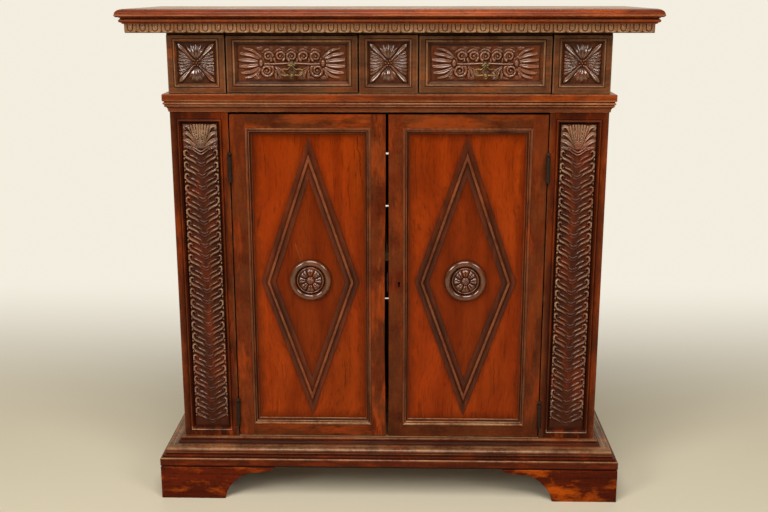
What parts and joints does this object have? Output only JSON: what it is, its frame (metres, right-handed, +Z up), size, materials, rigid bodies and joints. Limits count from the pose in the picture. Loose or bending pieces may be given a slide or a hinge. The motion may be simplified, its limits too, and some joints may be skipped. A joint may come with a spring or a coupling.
{
  "type": "credenza",
  "caption": "Small carved walnut credenza: drawers between carved blocks over lozenge panelled doors between carved pilasters, on a stepped base with bracket feet.",
  "frame": {"origin": "middle of the footprint, on the floor", "axes": "+X to the right as seen from the front, +Y to the back, +Z up"},
  "size_m": [1.057, 0.3434, 1.023],
  "materials": {
    "polished_walnut": "waxed red brown walnut, satin, with worn lighter edges",
    "panel_walnut": "polished red orange walnut, glossy, vertical grain",
    "carved_walnut": "dark waxed carved walnut, shiny on the high places",
    "inner_wood": "plain unpolished secondary wood",
    "aged_brass": "aged cast brass, dull in the hollows",
    "dark_iron": "dark forged iron"
  },
  "bodies": {
    "case": {"top_board": "polished_walnut", "bed_moulding": "polished_walnut", "left_side_board": "polished_walnut", "right_side_board": "polished_walnut", "left_pilaster": "polished_walnut", "right_pilaster": "polished_walnut", "waist_moulding": "polished_walnut", "base_moulding": "polished_walnut", "front_left_foot": "polished_walnut", "front_right_foot": "polished_walnut", "rear_left_foot": "polished_walnut", "rear_right_foot": "polished_walnut", "frieze_board": "carved_walnut", "left_carved_block": "carved_walnut", "centre_carved_block": "carved_walnut", "right_carved_block": "carved_walnut", "left_pilaster_carving": "carved_walnut", "right_pilaster_carving": "carved_walnut", "back_board": "inner_wood", "bottom_board": "inner_wood", "dust_board": "inner_wood", "middle_shelf": "inner_wood", "left_drawer_guide": "inner_wood", "centre_drawer_guide": "inner_wood", "right_drawer_guide": "inner_wood", "left_upper_hinge_pin": "dark_iron", "left_lower_hinge_pin": "dark_iron", "right_upper_hinge_pin": "dark_iron", "right_lower_hinge_pin": "dark_iron"},
    "left_door": {"left_door_frame": "polished_walnut", "left_door_panel": "panel_walnut", "left_door_panel_moulding": "polished_walnut", "left_door_lozenge": "polished_walnut", "left_door_boss": "carved_walnut", "left_upper_hinge_eye": "dark_iron", "left_lower_hinge_eye": "dark_iron"},
    "right_door": {"right_door_frame": "polished_walnut", "right_door_panel": "panel_walnut", "right_door_panel_moulding": "polished_walnut", "right_door_lozenge": "polished_walnut", "right_door_boss": "carved_walnut", "right_upper_hinge_eye": "dark_iron", "right_lower_hinge_eye": "dark_iron", "lock_case": "dark_iron"},
    "bolt": {"lock_bolt": "dark_iron"},
    "left_drawer": {"left_drawer_front": "carved_walnut", "left_drawer_left_wall": "inner_wood", "left_drawer_right_wall": "inner_wood", "left_drawer_back": "inner_wood", "left_drawer_bottom": "inner_wood", "left_pull_plate": "aged_brass"},
    "left_bail": {"left_pull_bail": "aged_brass"},
    "right_drawer": {"right_drawer_front": "carved_walnut", "right_drawer_left_wall": "inner_wood", "right_drawer_right_wall": "inner_wood", "right_drawer_back": "inner_wood", "right_drawer_bottom": "inner_wood", "right_pull_plate": "aged_brass"},
    "right_bail": {"right_pull_bail": "aged_brass"}
  },
  "joints": [
    {"name": "left_door_swing", "type": "hinge", "parent": "case", "child": "left_door", "pos_m": [-0.32065, -0.12995, 0.4725], "axis": [0, 0, -1], "range_deg": [0, 120]},
    {"name": "right_door_swing", "type": "hinge", "parent": "case", "child": "right_door", "pos_m": [0.32065, -0.12995, 0.4725], "axis": [0, 0, 1], "range_deg": [0, 120]},
    {"name": "left_drawer_slide", "type": "slide", "parent": "case", "child": "left_drawer", "axis": [0, -1, 0], "range_m": [0, 0.19]},
    {"name": "right_drawer_slide", "type": "slide", "parent": "case", "child": "right_drawer", "axis": [0, -1, 0], "range_m": [0, 0.19]},
    {"name": "left_bail_lift", "type": "hinge", "parent": "left_drawer", "child": "left_bail", "pos_m": [-0.191, -0.13175, 0.91275], "axis": [-1, 0, 0], "range_deg": [0, 95]},
    {"name": "right_bail_lift", "type": "hinge", "parent": "right_drawer", "child": "right_bail", "pos_m": [0.191, -0.13175, 0.91275], "axis": [-1, 0, 0], "range_deg": [0, 95]},
    {"name": "lock_bolt_throw", "type": "slide", "parent": "right_door", "child": "bolt", "axis": [-1, 0, 0], "range_m": [0, 0.011]}
  ]
}
